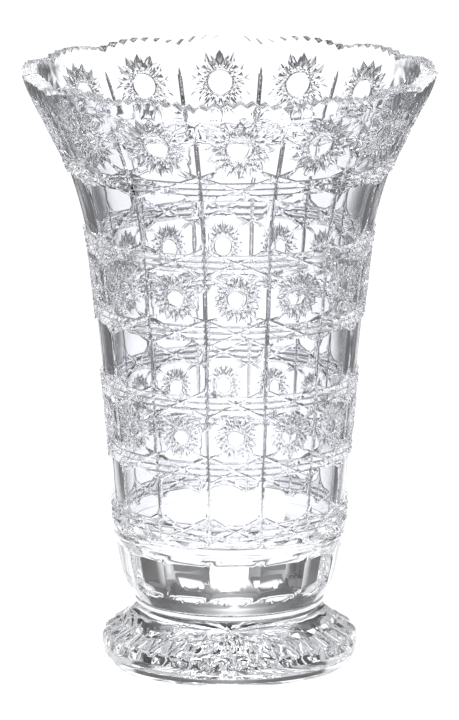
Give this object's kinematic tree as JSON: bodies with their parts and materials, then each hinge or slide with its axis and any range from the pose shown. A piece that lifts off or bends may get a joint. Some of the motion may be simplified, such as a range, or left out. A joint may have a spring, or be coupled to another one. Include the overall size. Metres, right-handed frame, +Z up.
{
  "type": "footed vase",
  "caption": "Tall flared vase of clear cut crystal with a scalloped rim, starred and banded sides, and a fluted round foot.",
  "frame": {"origin": "centre of the foot's underside, on the table plane", "axes": "Z up along the vase's axis; the cutting repeats round Z and a cut column is centred close to -Y; X to the right"},
  "size_m": [0.2044, 0.2054, 0.3],
  "materials": {
    "crystal": "colourless cut lead crystal, polished"
  },
  "bodies": {
    "root": {"bowl": "crystal", "neck_wafer": "crystal", "foot": "crystal"}
  },
  "joints": []
}
